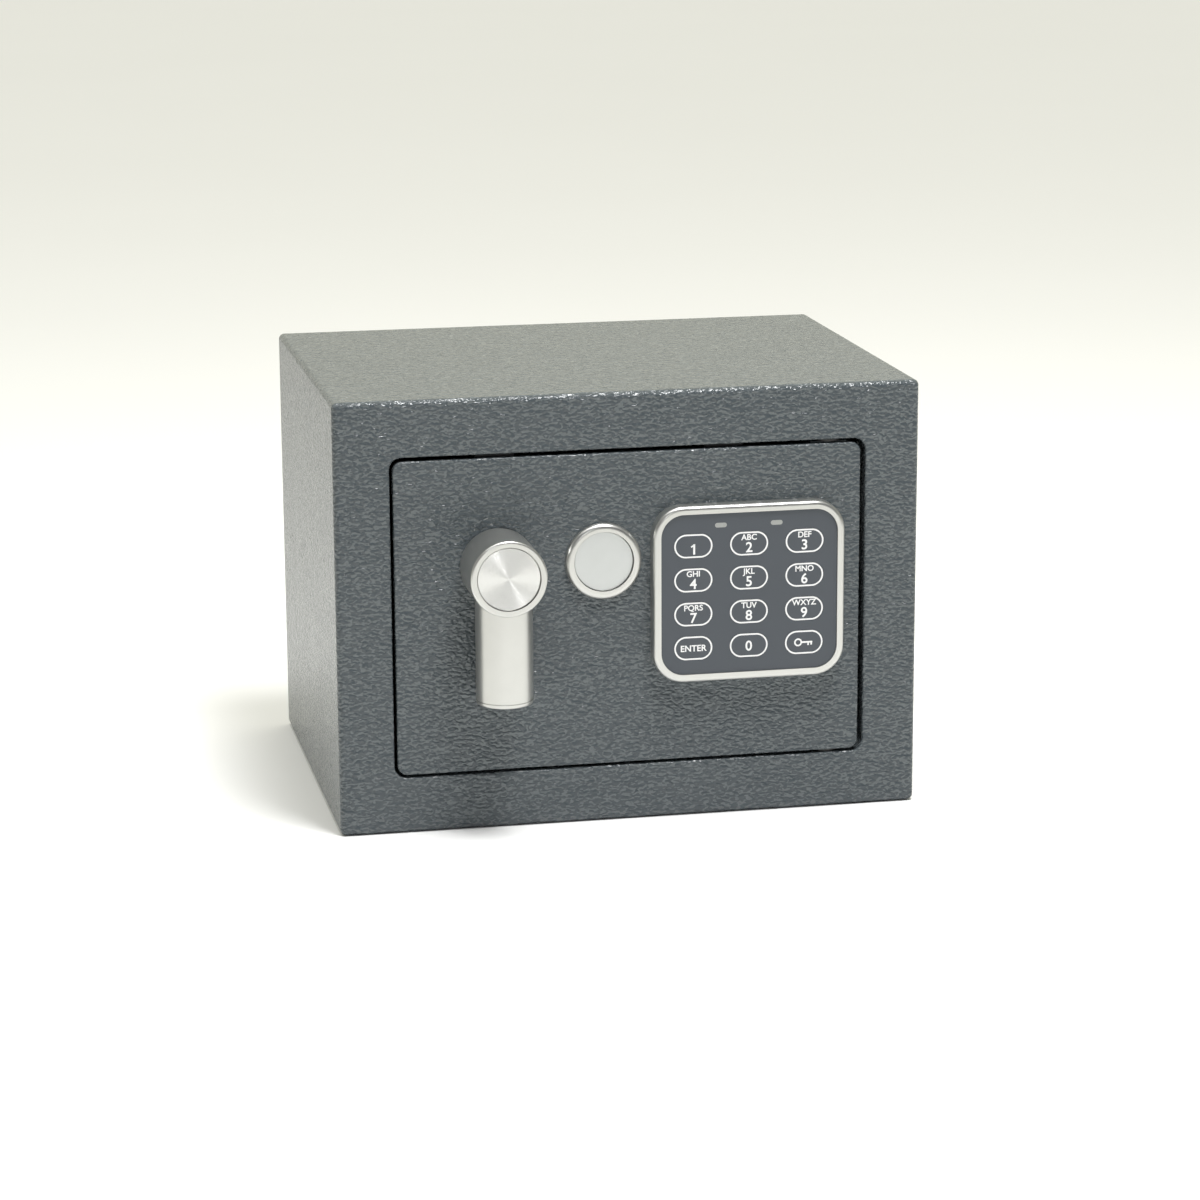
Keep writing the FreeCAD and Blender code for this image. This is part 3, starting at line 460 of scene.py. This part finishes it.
def key_outline(node, name):
    """A printed obround line just inside the key's edge."""
    low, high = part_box(node)
    width = high.x - low.x
    height = high.z - low.z
    shape = bmesh.new()
    bmesh.ops.create_circle(shape, cap_ends=True, segments=64, radius=height / 2)
    half_straight = (width - height) / 2
    for v in shape.verts:
        v.co.x += half_straight if v.co.x > 0 else -half_straight
    inset(shape, OUTLINE_INSET)
    rim = [f for f in shape.faces if len(f.verts) == 4]
    bmesh.ops.delete(shape, geom=rim, context="FACES")
    inset(shape, OUTLINE_WIDTH)
    inner = [f for f in shape.faces if len(f.verts) > 4]
    bmesh.ops.delete(shape, geom=inner, context="FACES")
    raise_faces(shape, PRINT_THICKNESS)
    return print_piece(shape, name, ((low.x + high.x) / 2, low.y, (low.z + high.z) / 2))


def print_piece(shape, name, place):
    """Turns a flat shape drawn in XY to face the front and puts it on the film."""
    bmesh.ops.remove_doubles(shape, verts=shape.verts[:], dist=1e-7)
    bmesh.ops.transform(shape, matrix=Matrix.Translation(place) @ Matrix.Rotation(math.pi / 2, 4, "X"),
                        verts=shape.verts[:])
    bmesh.ops.recalc_face_normals(shape, faces=shape.faces[:])
    mesh = bpy.data.meshes.new(name)
    shape.to_mesh(mesh)
    shape.free()
    return link(mesh, name)


def lettering(words, height, weight, name, place):
    """A legend set in a plain sans face, as a thin raised mesh."""
    text = bpy.data.curves.new(name, "FONT")
    text.body = words
    text.size = height / CAP_SHARE
    text.align_x = "CENTER"
    text.offset = weight
    text.extrude = PRINT_THICKNESS / 2
    text.resolution_u = 6
    typed = bpy.data.objects.new(name, text)
    bpy.context.scene.collection.objects.link(typed)
    bpy.context.view_layer.update()
    flat = bpy.data.meshes.new_from_object(typed.evaluated_get(bpy.context.evaluated_depsgraph_get()))
    bpy.data.objects.remove(typed)
    shape = bmesh.new()
    shape.from_mesh(flat)
    bpy.data.meshes.remove(flat)
    bmesh.ops.translate(shape, vec=(0.0, 0.0, PRINT_THICKNESS / 2), verts=shape.verts[:])
    return print_piece(shape, name, place)


def bar(shape, middle, size, turn=0.0):
    """A flat bar in XY, given in millimetres."""
    place = Matrix.Translation((middle[0] * MM, middle[1] * MM, 0.0)) @ Matrix.Rotation(turn, 4, "Z")
    bmesh.ops.create_grid(shape, x_segments=1, y_segments=1, size=0.5,
                          matrix=place @ Matrix.Diagonal((size[0] * MM, size[1] * MM, 1.0, 1.0)))


def key_symbol(name, place):
    """The key sign: a ring, a shaft and two teeth."""
    shape = bmesh.new()
    bmesh.ops.create_circle(shape, cap_ends=True, segments=40, radius=1.6 * MM)
    inset(shape, 0.62 * MM)
    bmesh.ops.delete(shape, geom=[f for f in shape.faces if len(f.verts) > 4], context="FACES")
    bmesh.ops.translate(shape, verts=shape.verts[:], vec=(-2.1 * MM, 0.0, 0.0))
    bar(shape, (1.53, 0.0), (4.15, 0.68))
    bar(shape, (1.95, -0.82), (0.62, 0.94))
    bar(shape, (3.20, -0.76), (0.62, 0.82))
    raise_faces(shape, PRINT_THICKNESS)
    return print_piece(shape, name, place)


def figure_one(name, place):
    """The figure 1 with a short flag."""
    shape = bmesh.new()
    bar(shape, (0.30, 2.05), (0.80, 4.10))
    bar(shape, (-0.38, 3.32), (1.25, 0.62), math.radians(35))
    raise_faces(shape, PRINT_THICKNESS)
    return print_piece(shape, name, place)


def legend_pieces(key, x, y, z):
    """The printed legends of one key, whose middle is at x and z and whose face is at y."""
    if key == "enter":
        return [lettering("ENTER", WORD_HEIGHT, WORD_WEIGHT, "legend_enter", (x, y, z - WORD_HEIGHT / 2))]
    if key == "key":
        return [key_symbol("legend_key", (x - 0.2 * MM, y, z))]
    letters, digit = KEY_LEGENDS[key]
    foot = (x, y, z - (LONE_DIGIT_DROP if key == "0" else DIGIT_DROP))
    if key == "1":
        pieces = [figure_one("legend_1", foot)]
    else:
        pieces = [lettering(digit, DIGIT_HEIGHT, DIGIT_WEIGHT, f"legend_{key}", foot)]
    if letters:
        place = (x, y, z + LETTER_RISE)
        pieces.append(lettering(letters, LETTER_HEIGHT, LETTER_WEIGHT, f"letters_{key}", place))
    return pieces


def print_keys():
    ink = white_print()
    for key in KEYS:
        node = f"key_{key}"
        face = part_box(node)[0].y
        middle = centre_of(node)
        for piece in (key_outline(node, f"outline_{key}"), *legend_pieces(key, middle.x, face, middle.z)):
            piece.data.materials.append(ink)
            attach(piece, f"keypad_key_{key}")


# ---- Felt mat ----

MAT_CORNER = 6 * MM
MAT_EDGE = 0.5 * MM
ANCHOR_X = 60 * MM
ANCHOR_Y = 20 * MM
ANCHOR_CLEARANCE = 8 * MM


def add_felt_mat():
    """The loose felt mat on the cabinet floor, with a hole over each anchor hole."""
    low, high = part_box("floor_mat")
    middle = (low + high) / 2
    size = high - low
    shape = bmesh.new()
    place = Matrix.Translation((middle.x, middle.y, low.z)) @ Matrix.Diagonal((*size, 1.0))
    bmesh.ops.create_grid(shape, x_segments=1, y_segments=1, size=0.5, matrix=place)
    bmesh.ops.bevel(shape, geom=shape.verts[:], offset=MAT_CORNER, affect="VERTICES", segments=10,
                    profile=0.5, material=-1)
    bmesh.ops.delete(shape, geom=shape.faces[:], context="FACES_ONLY")
    for x in (-ANCHOR_X, ANCHOR_X):
        bmesh.ops.create_circle(shape, segments=56, radius=ANCHOR_CLEARANCE,
                                matrix=Matrix.Translation((x, ANCHOR_Y, low.z)))
    bmesh.ops.triangle_fill(shape, edges=shape.edges[:], use_beauty=True)
    raise_faces(shape, size.z)
    bmesh.ops.recalc_face_normals(shape, faces=shape.faces[:])
    level = [e for e in shape.edges if abs(e.verts[0].co.z - e.verts[1].co.z) < 1e-6]
    rims = [e for e in level if e.calc_face_angle() > 1.0]
    bmesh.ops.bevel(shape, geom=rims, offset=MAT_EDGE, affect="EDGES", segments=3, profile=0.5, material=-1)
    mesh = bpy.data.meshes.new("felt_mat")
    shape.to_mesh(mesh)
    shape.free()
    mesh.materials.append(felt_cloth())
    mat = link(mesh, "felt_mat")
    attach(mat, "cabinet")
    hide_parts("floor_mat")


# ---- Floor ----

def add_floor():
    floor_paint = Recipe("pale_floor")
    cloud = floor_paint.noise(0.4, 2.0)
    material = floor_paint.finish(
        Base_Color=floor_paint.mix(cloud, (0.94, 0.94, 0.935), (0.96, 0.96, 0.955)),
        Roughness=0.6 + 0.1 * cloud)
    shape = bmesh.new()
    bmesh.ops.create_grid(shape, x_segments=1, y_segments=1, size=6.0)
    mesh = bpy.data.meshes.new("floor")
    shape.to_mesh(mesh)
    shape.free()
    floor = link(mesh, "floor")
    floor.location.z = -0.0002
    floor.data.materials.append(material)


add_camera()
add_studio()
add_floor()
finish_cad_nodes()
print_keys()
add_felt_mat()
